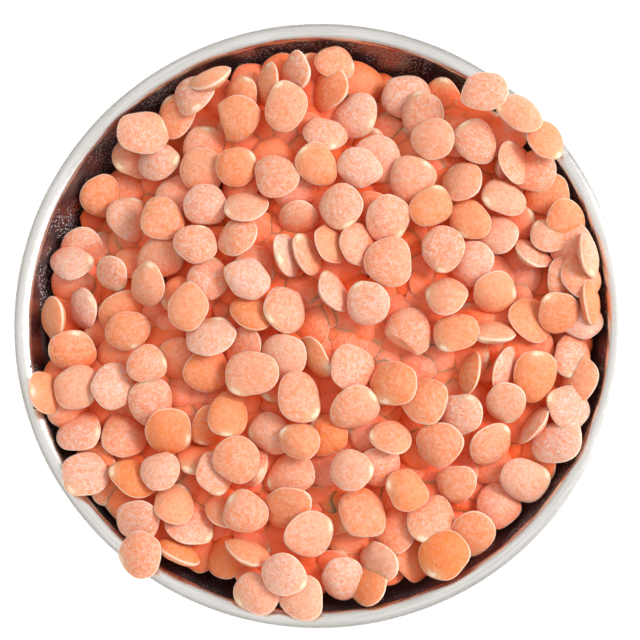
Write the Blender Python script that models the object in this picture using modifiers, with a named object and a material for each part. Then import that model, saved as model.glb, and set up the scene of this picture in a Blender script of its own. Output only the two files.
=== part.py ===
"""A small steel prep bowl heaped with dry red lentils.

The bowl is spun from thin stainless sheet, with a flat base, a round corner, a sloping wall and a rolled
bead for a rim. The lentils are one solid: a core that fills the bowl, with every lentil that shows fused
on at its true size. Metres, +Z up, origin at the middle of the bowl's base.
"""

import math
import random
from typing import NamedTuple

import bmesh
import bpy
import numpy as np
from mathutils import Matrix, Vector

MM = 0.001

# The bowl, by its inner surface
RIM_RADIUS = 33.5 * MM
BEAD_WIDTH = 2.1 * MM
BEAD_HEIGHT = 1.9 * MM
SHEET = 0.6 * MM
FLOOR_RADIUS = 12.0 * MM
CORNER_RADIUS = 16.0 * MM
WALL_ANGLE = math.radians(70)
BOWL_STEPS = 48
CORNER_STEPS = 6
BEAD_STEPS = 8
BEAD_END = math.radians(-60)

MOUTH_RADIUS = RIM_RADIUS - BEAD_WIDTH
BEAD_MIDDLE = RIM_RADIUS - BEAD_WIDTH / 2
CORNER_OUT = FLOOR_RADIUS + CORNER_RADIUS * math.sin(WALL_ANGLE)
CORNER_TOP = SHEET + CORNER_RADIUS * (1 - math.cos(WALL_ANGLE))
BEAD_LEVEL = CORNER_TOP + (MOUTH_RADIUS - CORNER_OUT) * math.tan(WALL_ANGLE)
RIM_LEVEL = BEAD_LEVEL + BEAD_HEIGHT / 2

# A lentil, and how much one differs from the next
LENTIL_RADIUS = 2.45 * MM
LENTIL_HALF_THICKNESS = 1.08 * MM
RADIUS_SPREAD = 0.055
THICKNESS_SPREAD = 0.06
SPLIT_SHARE = 0.06
SPLIT_THICKNESS = 0.6

# The heap's shape: how far the middle stands above the rim, and how high the lentils lie along the wall,
# in degrees anticlockwise from +X and millimetres above the rim
CROWN = 4.0 * MM
EDGE_LEVELS = (
    (0, -1.4), (30, -0.6), (52, 1.4), (76, -5.4), (96, 0.2), (116, -1.8), (146, -7.0), (176, -4.0),
    (196, -0.2), (214, -0.4), (233, 1.2), (245, 0.0), (260, 1.2), (279, -1.2), (308, -4.0), (338, -1.8),
)
EDGE_BAND = 0.45

# Lentils that anyone would notice: x and y in millimetres, how far the face tips, and which way
STANDING = (
    (29.3, 7.0, 70, 10), (29.6, 2.1, 74, 5), (-11.7, 26.9, 62, 115), (-5.4, 26.2, 62, 178),
    (-2.6, 27.6, 52, 175), (23.3, 7.3, 62, 55), (18.9, -1.4, 60, 80), (20.3, -5.6, 62, 340),
    (16.6, -6.0, 66, 165), (-15.1, -25.1, 62, 60), (-0.2, -4.2, 60, 215), (-3.2, 7.0, 60, 10),
    (-1.0, 6.8, 56, 15), (1.5, 8.0, 50, 20), (4.4, 7.8, 34, 5), (1.7, 2.7, 58, 25), (-29.0, 0.5, 58, 190),
)
ON_THE_RIM = (
    (-19.5, -21.7, 30, 235), (-18.9, -25.4, 14, 230), (-6.6, -29.7, 14, 250), (-1.7, -30.3, 10, 270),
    (-3.5, -28.0, 16, 240), (24.7, 19.4, 35, 30), (22.1, 22.2, 28, 60), (18.3, 24.6, 8, 60),
    (-29.4, -7.8, 50, 10),
)

# How the lentils are poured and settled
SEED = 11
CELL = 0.25 * MM
REACH = 37.0 * MM
LENTIL_TO_STEEL = 0.45 * MM
POUR_DEPTH = 8.5 * MM
DEEP = 4.0 * MM
ROUGHNESS = 0.8 * MM
PROUD = 2.1 * MM
STANDING_PROUD = 1.7 * MM
FULL_ENOUGH = 0.15 * MM
SPENT_RADIUS = 0.75 * MM
STANDING_ROOM = 1.7 * MM
WALL_SIDE = 25.0 * MM
WHIM = 0.55 * MM
HOLE = 2.5 * MM
HOLE_EDGE = 2.2 * MM
HOLE_BITE = 0.25 * MM
HOLE_FILL = 1.6 * MM
HOLE_SIDE = 0.6 * MM
HOLE_REACH = 29.0 * MM
OPEN_AIR = -1.0

# The core that carries the lentils that show
STEEL_GAP = 0.5 * MM
CORE_SINK = 1.0 * MM
CORE_BLUR = 9
CORE_STEPS = 36
CORE_RINGS = 9
CORE_SIDE = 6
CORE_FOOT = 0.35 * MM
SHOWN_SHARE = 0.12
BITE = 0.3 * MM


class Lentil(NamedTuple):
    place: Vector
    normal: Vector
    spin: float
    radius: float
    half_thickness: float
    split: bool


# Materials

def steel():
    material = bpy.data.materials.new("stainless_steel")
    material.use_nodes = True
    shader = material.node_tree.nodes["Principled BSDF"]
    shader.inputs["Base Color"].default_value = (0.62, 0.60, 0.57, 1)
    shader.inputs["Metallic"].default_value = 1.0
    shader.inputs["Roughness"].default_value = 0.25
    return material


def red_lentil():
    material = bpy.data.materials.new("red_lentil")
    material.use_nodes = True
    shader = material.node_tree.nodes["Principled BSDF"]
    shader.inputs["Base Color"].default_value = (0.86, 0.36, 0.18, 1)
    shader.inputs["Roughness"].default_value = 0.65
    return material


# Turned shapes

def turned(name, profile, steps, collection):
    """A solid of revolution about Z. The profile starts and ends on the axis, and runs down its outer side."""
    mesh = bpy.data.meshes.new(name)
    edges = [(i, i + 1) for i in range(len(profile) - 1)]
    mesh.from_pydata([(radius, 0, height) for radius, height in profile], edges, [])
    piece = bpy.data.objects.new(name, mesh)
    collection.objects.link(piece)
    screw = piece.modifiers.new("turn", "SCREW")
    screw.steps = screw.render_steps = steps
    screw.use_merge_vertices = True
    screw.merge_threshold = 0.01 * MM
    return piece


def made_mesh(piece):
    """The piece's evaluated mesh, with its modifiers applied."""
    graph = bpy.context.evaluated_depsgraph_get()
    graph.update()
    mesh = bpy.data.meshes.new_from_object(piece.evaluated_get(graph))
    piece.modifiers.clear()
    piece.data = mesh
    return mesh


def corner_arc(radius):
    """The round corner between floor and wall, from the floor up."""
    turns = [WALL_ANGLE * k / CORNER_STEPS for k in range(CORNER_STEPS + 1)]
    centre = SHEET + CORNER_RADIUS
    return [(FLOOR_RADIUS + radius * math.sin(t), centre - radius * math.cos(t)) for t in turns]


def bead_arc():
    """The rolled rim's section, from its inner edge over the top to where it curls back under."""
    turns = [math.pi + (BEAD_END - math.pi) * k / BEAD_STEPS for k in range(BEAD_STEPS + 1)]
    return [
        (BEAD_MIDDLE + BEAD_WIDTH / 2 * math.cos(t), BEAD_LEVEL + BEAD_HEIGHT / 2 * math.sin(t)) for t in turns
    ]


def bowl(collection):
    under_bead = MOUTH_RADIUS + SHEET / math.sin(WALL_ANGLE) - BEAD_HEIGHT / 2 / math.tan(WALL_ANGLE)
    inside = [(0, SHEET)] + corner_arc(CORNER_RADIUS)
    outside = [(under_bead, BEAD_LEVEL - BEAD_HEIGHT / 2)] + corner_arc(CORNER_RADIUS + SHEET)[::-1] + [(0, 0)]
    piece = turned("bowl", inside + bead_arc() + outside, BOWL_STEPS, collection)
    mesh = made_mesh(piece)
    mesh.shade_smooth()
    mesh.set_sharp_from_angle(angle=math.radians(40))
    mesh.materials.append(steel())
    return piece


def mouth(level, clearance):
    """The radius inside the bowl at a level, kept clear of the steel."""
    below = CORNER_RADIUS + SHEET - level
    corner = FLOOR_RADIUS + math.sqrt(max(0, (CORNER_RADIUS - clearance) ** 2 - below ** 2))
    wall = CORNER_OUT + (level - CORNER_TOP) / math.tan(WALL_ANGLE) - clearance / math.sin(WALL_ANGLE)
    return min(wall if level > CORNER_TOP else corner, MOUTH_RADIUS - clearance)


# The bed of lentils, as a map of heights over a grid of cells

HALF_CELLS = round(REACH / CELL)
LINE = np.arange(-HALF_CELLS, HALF_CELLS + 1) * CELL
GRID_X, GRID_Y = np.meshgrid(LINE, LINE, indexing="ij")
GRID_R = np.hypot(GRID_X, GRID_Y)


def cell_of(x, y):
    return round(x / CELL) + HALF_CELLS, round(y / CELL) + HALF_CELLS


def steel_heights():
    """How low a lentil may reach over each cell, kept clear of the bowl and its bead."""
    inner = CORNER_RADIUS - LENTIL_TO_STEEL
    run = np.clip(GRID_R - FLOOR_RADIUS, 0, inner * math.sin(WALL_ANGLE))
    corner = SHEET + CORNER_RADIUS - np.sqrt(inner ** 2 - run ** 2)
    wall_start = CORNER_OUT - LENTIL_TO_STEEL / math.sin(WALL_ANGLE)
    wall = CORNER_TOP + (GRID_R - wall_start) * math.tan(WALL_ANGLE)
    across = (GRID_R - BEAD_MIDDLE) / (BEAD_WIDTH / 2 + LENTIL_TO_STEEL)
    bead = BEAD_LEVEL + (BEAD_HEIGHT / 2 + LENTIL_TO_STEEL) * np.sqrt(np.clip(1 - across ** 2, 0, 1))
    inside = np.minimum(np.maximum(corner, wall), RIM_LEVEL + LENTIL_TO_STEEL)
    over_bead = np.where(np.abs(across) < 1, bead, OPEN_AIR)
    return np.maximum(np.where(GRID_R < BEAD_MIDDLE, inside, OPEN_AIR), over_bead)


def mound_heights():
    """The shape that the heap follows: a crown, and a smooth curve through the levels along the wall."""
    angles = np.array([angle for angle, _ in EDGE_LEVELS] + [360.0])
    levels = np.array([level for _, level in EDGE_LEVELS] + [EDGE_LEVELS[0][1]]) * MM
    around = np.degrees(np.arctan2(GRID_Y, GRID_X)) % 360
    stretch = np.clip(np.searchsorted(angles, around, side="right") - 1, 0, len(EDGE_LEVELS) - 1)
    share = (around - angles[stretch]) / (angles[stretch + 1] - angles[stretch])
    share = share * share * (3 - 2 * share)
    edge = levels[stretch] * (1 - share) + levels[stretch + 1] * share
    out = np.clip(GRID_R / MOUTH_RADIUS, 0, 1.1)
    band = np.clip((out - EDGE_BAND) / (1 - EDGE_BAND), 0, 1.2) ** 1.5
    return RIM_LEVEL + CROWN * (1 - out ** 2) + edge * band


def lens_heights(normal, radius, half_thickness):
    """The under and upper surface of a tipped lentil, from its middle, over a square of cells."""
    cells = math.ceil(radius / CELL)
    line = np.arange(-cells, cells + 1) * CELL
    x, y = np.meshgrid(line, line, indexing="ij")
    flatness = 1 / half_thickness ** 2 - 1 / radius ** 2
    lean = normal[0] * x + normal[1] * y
    rise = 1 / radius ** 2 + flatness * normal[2] ** 2
    middle = flatness * normal[2] * lean
    inside = middle ** 2 - rise * ((x * x + y * y) / radius ** 2 + flatness * lean ** 2 - 1)
    root = np.sqrt(np.maximum(inside, 0))
    under = np.where(inside > 0, (-middle - root) / rise, np.inf)
    upper = np.where(inside > 0, (-middle + root) / rise, -np.inf)
    return under, upper


def facing(ways):
    """The unit normals of lentils tipped from flat by a tilt in degrees, towards an azimuth in radians."""
    tipped = [(math.radians(tilt), azimuth) for tilt, azimuth in ways]
    return [(math.sin(t) * math.cos(a), math.sin(t) * math.sin(a), math.cos(t)) for t, a in tipped]


def aside(count, cells, turn):
    """No step, and a ring of steps aside from a cell."""
    around = [turn + k * math.tau / count for k in range(count)]
    return [(0, 0)] + [(round(cells * math.cos(a)), round(cells * math.sin(a))) for a in around]


class Bed:
    """Lentils at rest on each other: the height of the topmost surface, and whose it is, over each cell."""

    def __init__(self):
        self.dice = random.Random(SEED)
        self.mound = mound_heights()
        start = np.where(GRID_R < MOUTH_RADIUS - 1.0 * MM, self.mound - POUR_DEPTH, OPEN_AIR)
        self.steel = steel_heights()
        self.fixed = self.steel.copy()
        self.heights = np.maximum(self.steel, start)
        self.owner = np.full(GRID_R.shape, -1)
        self.spent = GRID_R > MOUTH_RADIUS - 0.8 * MM
        rough = np.random.RandomState(SEED).random_sample(GRID_R.shape) * ROUGHNESS
        self.wanted = self.mound - rough
        self.lentils = []

    def window(self, i, j, cells):
        return slice(i - cells, i + cells + 1), slice(j - cells, j + cells + 1)

    def rest_level(self, i, j, under):
        return (self.heights[self.window(i, j, len(under) // 2)] - under).max()

    def lay(self, i, j, level, normal, radius, half_thickness, split):
        """Leaves a lentil at rest, and raises the heights that it covers."""
        upper = lens_heights(normal, radius, half_thickness)[1]
        window = self.window(i, j, len(upper) // 2)
        covers = level + upper > self.heights[window]
        self.heights[window] = np.where(covers, level + upper, self.heights[window])
        self.owner[window] = np.where(covers, len(self.lentils), self.owner[window])
        place = Vector((LINE[i], LINE[j], level))
        spin = self.dice.random() * math.tau
        self.lentils.append(Lentil(place, Vector(normal), spin, radius, half_thickness, split))

    def sizes(self):
        """A lentil's radius, half thickness, and whether it is a split half."""
        radius = LENTIL_RADIUS * min(1.13, max(0.84, self.dice.gauss(1, RADIUS_SPREAD)))
        half_thickness = LENTIL_HALF_THICKNESS * min(1.15, max(0.85, self.dice.gauss(1, THICKNESS_SPREAD)))
        split = self.dice.random() < SPLIT_SHARE
        return radius, half_thickness * (SPLIT_THICKNESS if split else 1), split

    def tries(self, deep, standing, to_middle):
        """The ways to face, and the steps aside in cells, that a falling lentil tries. By the wall it also
        leans on the wall, with its face to the middle."""
        roll, turn = self.dice.uniform, self.dice.random() * math.tau
        if deep:
            ways = [(roll(0, 40), turn + k * math.tau / 4) for k in range(4)]
            return facing(ways), aside(4, 3, 0)
        if standing:
            ways = [(roll(52, 82), turn + k * math.tau / 12) for k in range(6)]
            return facing(ways), aside(4, 2, 0)
        ways = [(roll(0, 6), turn)]
        for tilt in (14, 28, 40):
            ways += [(tilt + roll(-6, 6), turn + k * math.tau / 5 + roll(-0.4, 0.4)) for k in range(5)]
        if to_middle is not None:
            ways += [(tilt, to_middle + roll(-0.5, 0.5)) for tilt in (25, 40, 55, 68)]
        return facing(ways), aside(6, 3, turn)

    def settle(self, i, j, deep):
        """Drops a lentil near a cell, and lets it come to rest in the lowest of the ways it tries."""
        radius, half_thickness, split = self.sizes()
        by_the_wall = math.hypot(LINE[i], LINE[j]) > WALL_SIDE
        standing = self.dice.random() < (0.25 if by_the_wall else 0.08) and not deep
        to_middle = math.atan2(-LINE[j], -LINE[i]) if by_the_wall else None
        normals, steps = self.tries(deep, standing, to_middle)
        found = None
        for normal in normals:
            under, upper = lens_heights(normal, radius, half_thickness)
            whim = self.dice.random() * WHIM
            for step_i, step_j in steps:
                level = self.rest_level(i + step_i, j + step_j, under)
                if found is None or round(level + whim, 7) < found[0]:
                    found = round(level + whim, 7), level, i + step_i, j + step_j, normal, upper.max()
        _, level, i_found, j_found, normal, rise = found
        allowed = self.mound[i_found, j_found] + (STANDING_PROUD if standing else PROUD)
        if level + rise > allowed:
            self.spent |= np.hypot(GRID_X - LINE[i], GRID_Y - LINE[j]) < SPENT_RADIUS
            return
        self.lay(i_found, j_found, level, normal, radius, half_thickness, split)

    def pour(self, enough):
        """Settles a lentil where the bed is furthest below the mound, until it is filled this near to it."""
        while True:
            missing = np.where(self.spent, OPEN_AIR, self.wanted - self.heights)
            i, j = divmod(int(missing.argmax()), len(LINE))
            if missing[i, j] < enough:
                return
            self.settle(i, j, self.mound[i, j] - self.heights[i, j] > DEEP)

    def put(self, spots, proud):
        """Lays the lentils that are placed by hand, as proud of the mound as this, or on the steel or each
        other where that is higher, and keeps others off."""
        for x, y, tilt, azimuth in spots:
            i, j = cell_of(x * MM, y * MM)
            normal = facing([(tilt, math.radians(azimuth))])[0]
            under, upper = lens_heights(normal, LENTIL_RADIUS, LENTIL_HALF_THICKNESS)
            window = self.window(i, j, len(under) // 2)
            on_fixed = (self.fixed[window] - under).max()
            level = max(on_fixed, self.mound[i, j] + proud - upper.max())
            self.lay(i, j, level, normal, LENTIL_RADIUS, LENTIL_HALF_THICKNESS, False)
            self.fixed[window] = np.maximum(self.fixed[window], level + upper)
            self.spent |= np.hypot(GRID_X - LINE[i], GRID_Y - LINE[j]) < STANDING_ROOM

    def wedge(self):
        """Presses a lentil into each deep hole that is too narrow for one to fall into, no higher than it can
        go without cutting into the lentils round the hole."""
        left = GRID_R < HOLE_REACH
        while True:
            missing = np.where(left, self.mound - self.heights, OPEN_AIR)
            i, j = divmod(int(missing.argmax()), len(LINE))
            if missing[i, j] < HOLE:
                return
            left &= np.hypot(GRID_X - LINE[i], GRID_Y - LINE[j]) > HOLE_SIDE
            radius, half_thickness, split = self.sizes()
            normal = facing([(self.dice.uniform(0, 35), self.dice.random() * math.tau)])[0]
            under, upper = lens_heights(normal, radius, half_thickness)
            window = self.window(i, j, len(under) // 2)
            round_it = self.mound[window] - self.heights[window] < HOLE_EDGE
            clear = np.where(round_it, self.heights[window] - upper, np.inf).min() + HOLE_BITE
            sunk = self.mound[i, j] - HOLE_FILL - upper.max()
            level = max((self.steel[window] - under).max(), min(clear, sunk))
            if level + upper[len(upper) // 2, len(upper) // 2] > self.heights[i, j]:
                self.lay(i, j, level, normal, radius, half_thickness, split)


def poured_bed():
    bed = Bed()
    bed.put(STANDING, STANDING_PROUD)
    bed.put(ON_THE_RIM, OPEN_AIR)
    bed.pour(FULL_ENOUGH)
    bed.wedge()
    return bed


# The lentils as a solid

def lentil_mesh(split):
    """A lentil of radius 1 and half thickness 1 with few sides: an octagon, and a square on each face.
    A split half is flat below."""
    shape = bmesh.new()
    bmesh.ops.create_cone(
        shape, cap_ends=True, segments=8, radius1=1, radius2=0.56, depth=0.82,
        matrix=Matrix.Translation((0, 0, 0.41)),
    )
    crown = [v for v in shape.verts if v.co.z > 0.5]
    crown.sort(key=lambda v: math.atan2(v.co.y, v.co.x))
    bmesh.ops.weld_verts(shape, targetmap={crown[k + 1]: crown[k] for k in range(0, 8, 2)})
    if split:
        bmesh.ops.translate(shape, verts=shape.verts, vec=(0, 0, -0.4))
    else:
        base = [f for f in shape.faces if all(abs(v.co.z) < 0.01 for v in f.verts)]
        bmesh.ops.delete(shape, geom=base, context="FACES_ONLY")
        whole = shape.verts[:] + shape.edges[:] + shape.faces[:]
        bmesh.ops.mirror(shape, geom=whole, axis="Z", merge_dist=0.001)
        bmesh.ops.recalc_face_normals(shape, faces=shape.faces)
    bmesh.ops.triangulate(shape, faces=shape.faces)
    mesh = bpy.data.meshes.new("split_lentil" if split else "whole_lentil")
    shape.to_mesh(mesh)
    shape.free()
    return mesh


def placed(lentil):
    """The matrix that puts a unit lentil where this one lies."""
    face = lentil.normal.to_track_quat("Z", "Y").to_matrix().to_4x4()
    size = Matrix.Diagonal((lentil.radius, lentil.radius, lentil.half_thickness, 1))
    return Matrix.Translation(lentil.place) @ face @ Matrix.Rotation(lentil.spin, 4, "Z") @ size


def blurred(values, reach):
    """Each cell's mean over the square of cells around it."""
    for axis in (0, 1):
        total = np.cumsum(np.insert(values, 0, 0, axis=axis), axis=axis)
        count = values.shape[axis]
        first = np.clip(np.arange(count) - reach, 0, count)
        last = np.clip(np.arange(count) + reach + 1, 0, count)
        values = (np.take(total, last, axis) - np.take(total, first, axis)) / (2 * reach + 1)
    return values


def core_heights(bed):
    """The smooth surface a little below the lentils that show."""
    shows = (bed.owner >= 0) & (GRID_R < MOUTH_RADIUS)
    filled = blurred(shows * 1.0, CORE_BLUR)
    level = blurred(np.where(shows, bed.heights, 0), CORE_BLUR) / np.maximum(filled, 1e-6)
    return np.where(filled > 0.05, level, bed.mound) - CORE_SINK


def core(heights, collection):
    """The core, turned as a round plug and then shaped to the bowl below and the bed above."""
    top = [(k / CORE_RINGS, 1.0) for k in range(CORE_RINGS + 1)]
    side = [(1.0, 1 - k / CORE_SIDE) for k in range(1, CORE_SIDE + 1)]
    piece = turned("lentils", top + side + [(0, 0)], CORE_STEPS, collection)
    mesh = made_mesh(piece)
    foot = SHEET + CORE_FOOT
    for vertex in mesh.vertices:
        share, rise = math.hypot(vertex.co.x, vertex.co.y), vertex.co.z
        across, along = (vertex.co.x / share, vertex.co.y / share) if share > 0 else (0, 0)
        edge_radius = MOUTH_RADIUS - STEEL_GAP - LENTIL_RADIUS / 2
        edge = heights[cell_of(across * edge_radius, along * edge_radius)]
        if share < 1 and rise > 0.5:
            radius = share * mouth(edge, STEEL_GAP)
            level = heights[cell_of(across * radius, along * radius)]
        else:
            level = foot + rise * (edge - foot)
            radius = mouth(level, STEEL_GAP) if share > 0 else 0
        vertex.co = (across * radius, along * radius, level)
    shape = bmesh.new()
    shape.from_mesh(mesh)
    bmesh.ops.triangulate(shape, faces=shape.faces)
    shape.to_mesh(mesh)
    shape.free()
    return piece


def seated(lentil, bed, heights):
    """The same lentil, let down until it bites into the core or comes near the steel."""
    under, _ = lens_heights(lentil.normal, lentil.radius, lentil.half_thickness)
    window = bed.window(*cell_of(lentil.place.x, lentil.place.y), len(under) // 2)
    missing = BITE - (heights[window] - lentil.place.z - under).max()
    room = lentil.place.z - (bed.steel[window] - under).max()
    down = max(0, min(missing, room))
    return lentil._replace(place=lentil.place - Vector((0, 0, down)))


def largest_shell(mesh):
    """Drops every shell of the mesh but the largest, such as a sealed hollow or a loose scrap."""
    shape = bmesh.new()
    shape.from_mesh(mesh)
    left = set(shape.faces)
    shells = []
    while left:
        shell, front = [], [left.pop()]
        while front:
            face = front.pop()
            shell.append(face)
            beside = {other for edge in face.edges for other in edge.link_faces} & left
            left -= beside
            front.extend(beside)
        shells.append(shell)
    shells.sort(key=len)
    for shell in shells[:-1]:
        bmesh.ops.delete(shape, geom=shell, context="FACES")
    shape.to_mesh(mesh)
    shape.free()


def heap(collection):
    """The core and the lentils that show, fused into one solid."""
    bed = poured_bed()
    heights = core_heights(bed)
    piece = core(heights, collection)
    shown = np.bincount(bed.owner[bed.owner >= 0], minlength=len(bed.lentils)) * CELL ** 2
    meshes = {False: lentil_mesh(False), True: lentil_mesh(True)}
    loose = bpy.data.collections.new("loose lentils")
    bpy.context.scene.collection.children.link(loose)
    for area, lentil in zip(shown, bed.lentils):
        if area > SHOWN_SHARE * math.pi * lentil.radius ** 2:
            grain = bpy.data.objects.new("lentil", meshes[lentil.split])
            grain.matrix_world = placed(seated(lentil, bed, heights))
            loose.objects.link(grain)
    fuse = piece.modifiers.new("fuse", "BOOLEAN")
    fuse.operation = "UNION"
    fuse.operand_type = "COLLECTION"
    fuse.collection = loose
    fuse.solver = "MANIFOLD"
    mesh = made_mesh(piece)
    for grain in list(loose.objects):
        bpy.data.objects.remove(grain)
    bpy.data.collections.remove(loose)
    largest_shell(mesh)
    mesh.materials.clear()
    mesh.materials.append(red_lentil())
    return piece


def main():
    for old in list(bpy.data.objects):
        bpy.data.objects.remove(old)
    collection = bpy.data.collections.new("bowl of dry lentils")
    bpy.context.scene.collection.children.link(collection)
    bowl(collection)
    heap(collection)


main()
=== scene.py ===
# %% [markdown]
# # A bowl of dry red lentils
#
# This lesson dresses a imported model: a small steel prep bowl, heaped with skinned red lentils. The packed
# model has two plain solids, the bowl and the heap. Here the bowl is turned again with a finer section and
# a steel finish, and the heap is poured again, lentil by lentil, so that each one lies where its plain
# stand-in does. Everything is in metres, with the bowl's base at the origin and +Z up.

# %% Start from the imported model
import math
import random

import bmesh
import bpy
import numpy as np
from mathutils import Matrix, Vector
from mathutils.bvhtree import BVHTree


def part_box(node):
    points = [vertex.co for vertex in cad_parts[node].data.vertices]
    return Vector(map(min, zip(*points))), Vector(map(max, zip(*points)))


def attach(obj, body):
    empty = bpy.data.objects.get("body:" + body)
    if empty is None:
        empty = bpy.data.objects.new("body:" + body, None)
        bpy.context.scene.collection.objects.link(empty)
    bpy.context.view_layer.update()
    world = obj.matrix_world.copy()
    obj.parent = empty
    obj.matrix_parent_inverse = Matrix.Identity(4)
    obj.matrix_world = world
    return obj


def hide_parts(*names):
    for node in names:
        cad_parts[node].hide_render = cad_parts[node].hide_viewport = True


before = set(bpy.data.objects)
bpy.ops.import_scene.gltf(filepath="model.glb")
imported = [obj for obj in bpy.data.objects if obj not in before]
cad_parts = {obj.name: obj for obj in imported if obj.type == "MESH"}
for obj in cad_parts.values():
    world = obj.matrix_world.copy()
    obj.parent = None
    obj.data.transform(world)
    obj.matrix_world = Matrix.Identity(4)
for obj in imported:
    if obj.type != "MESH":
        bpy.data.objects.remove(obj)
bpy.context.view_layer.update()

MM = 0.001

# %% [markdown]
# ## The sizes that everything follows
#
# The bowl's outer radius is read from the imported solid. Its section was drawn from a few sizes: a flat
# floor, a round corner, a wall at 70 degrees and an oval bead. The same sizes give the inner radius and the
# rim's height here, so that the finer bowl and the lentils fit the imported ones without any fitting.

# %% Measure the bowl
bowl_low, bowl_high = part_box("bowl")
RIM_RADIUS = round(bowl_high.x / MM, 1) * MM
BEAD_WIDTH = 2.1 * MM
BEAD_HEIGHT = 1.9 * MM
SHEET = 0.6 * MM
FLOOR_RADIUS = 12.0 * MM
CORNER_RADIUS = 16.0 * MM
WALL_ANGLE = math.radians(70)

MOUTH_RADIUS = RIM_RADIUS - BEAD_WIDTH
BEAD_MIDDLE = RIM_RADIUS - BEAD_WIDTH / 2
CORNER_OUT = FLOOR_RADIUS + CORNER_RADIUS * math.sin(WALL_ANGLE)
CORNER_TOP = SHEET + CORNER_RADIUS * (1 - math.cos(WALL_ANGLE))
BEAD_LEVEL = CORNER_TOP + (MOUTH_RADIUS - CORNER_OUT) * math.tan(WALL_ANGLE)
RIM_LEVEL = BEAD_LEVEL + BEAD_HEIGHT / 2
print(f"rim {RIM_RADIUS / MM:.2f} mm out and {RIM_LEVEL / MM:.2f} mm up,",
      f"packed rim {bowl_high.z / MM:.2f} mm up, mouth {MOUTH_RADIUS / MM:.2f} mm")

# %% [markdown]
# ## Helpers for finishes
#
# Colours are given as sRGB hex values, as a paint chart or a photo editor gives them, and shaders want
# them linear, so one function turns them. A material is a small graph, and writing one out is mostly adding
# nodes, so a second function adds a node with its settings and links in one call. The kinds of node that
# come up again and again get a short function each.

# %% Colour and node helpers
def linear(hex_colour):
    """An sRGB hex value as the linear colour that a shader takes."""
    parts = [int(hex_colour[k:k + 2], 16) / 255 for k in (0, 2, 4)]
    turned = [p / 12.92 if p <= 0.04045 else ((p + 0.055) / 1.055) ** 2.4 for p in parts]
    return (*turned, 1.0)


def fill(tree, node, inputs):
    """Gives each input of a node a value, or the output socket that feeds it."""
    for name, value in inputs.items():
        if isinstance(value, bpy.types.NodeSocket):
            tree.links.new(value, node.inputs[name])
        else:
            node.inputs[name].default_value = value
    return node


def add(tree, kind, inputs=None, **settings):
    """A new node with its settings and inputs."""
    node = tree.nodes.new(kind)
    for name, value in settings.items():
        setattr(node, name, value)
    return fill(tree, node, inputs or {})


def calculate(tree, operation, *values, clamped=False):
    """One step of arithmetic."""
    inputs = dict(enumerate(values))
    return add(tree, "ShaderNodeMath", inputs, operation=operation, use_clamp=clamped).outputs[0]


def ramp(tree, value, span, onto):
    """A value stretched from one span onto another, and held at the ends."""
    ends = {"From Min": span[0], "From Max": span[1], "To Min": onto[0], "To Max": onto[1]}
    return add(tree, "ShaderNodeMapRange", {"Value": value, **ends}).outputs[0]


def mix(tree, amount, under, over):
    """One colour laid over another by an amount."""
    return add(tree, "ShaderNodeMix", {0: amount, 6: under, 7: over}, data_type="RGBA").outputs[2]


def noise(tree, vector, width, detail, roughness=0.5, distortion=0.0):
    """A cloudy pattern with patches of about this width."""
    form = {"Scale": 1 / width, "Detail": detail, "Roughness": roughness, "Distortion": distortion}
    return add(tree, "ShaderNodeTexNoise", {"Vector": vector, **form}).outputs["Fac"]


def bump(tree, height, strength, depth, over=None):
    """Shading as if a pattern stood up this far, over an earlier bump where there is one."""
    inputs = {"Height": height, "Strength": strength, "Distance": depth}
    if over is not None:
        inputs["Normal"] = over
    return add(tree, "ShaderNodeBump", inputs).outputs[0]


def to_nearest_dot(tree, vector, spacing, dimensions="3D"):
    """How far each point is from the nearest of many scattered dots, in spacings."""
    inputs = {"Vector": vector, "Scale": 1 / spacing}
    return add(tree, "ShaderNodeTexVoronoi", inputs, voronoi_dimensions=dimensions).outputs["Distance"]


def new_material(name):
    """A material with a Principled shader, its node tree, and that shader."""
    material = bpy.data.materials.new(name)
    material.use_nodes = True
    return material, material.node_tree, material.node_tree.nodes["Principled BSDF"]


print("steel grey in linear values:", [round(v, 3) for v in linear("C9C7C0")[:3]])

# %% [markdown]
# ## The bowl's section
#
# A prep bowl like this is spun or pressed from one disc of thin stainless sheet, and its edge is rolled
# outwards into a bead, which makes it stiff and safe to hold. It could be built from a cylinder with
# extrusions, but a turned thing is best drawn as half its section and spun. The section is worked out as
# arcs: floor, corner, wall, bead, and back down the outside one sheet's thickness away. The bead's top looks
# wide and rather flat in the photograph, so its oval is drawn a little squared.

# %% Draw the section
FLOOR_STEPS = 4
CORNER_STEPS = 14
WALL_STEPS = 5
BEAD_STEPS = 28
BEAD_END = math.radians(-60)
BEAD_SQUARENESS = 2.3


def corner_arc(radius):
    """The round corner, from the floor up."""
    turns = [WALL_ANGLE * k / CORNER_STEPS for k in range(CORNER_STEPS + 1)]
    centre = SHEET + CORNER_RADIUS
    return [(FLOOR_RADIUS + radius * math.sin(t), centre - radius * math.cos(t)) for t in turns]


def straight(start, end, steps):
    """The points between two ends."""
    shares = [k / steps for k in range(1, steps)]
    return [(start[0] + (end[0] - start[0]) * s, start[1] + (end[1] - start[1]) * s) for s in shares]


def squared(value):
    """A sine or cosine bent towards its ends, which gives an oval a flatter top and rounder corners."""
    return math.copysign(abs(value) ** (2 / BEAD_SQUARENESS), value)


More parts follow.
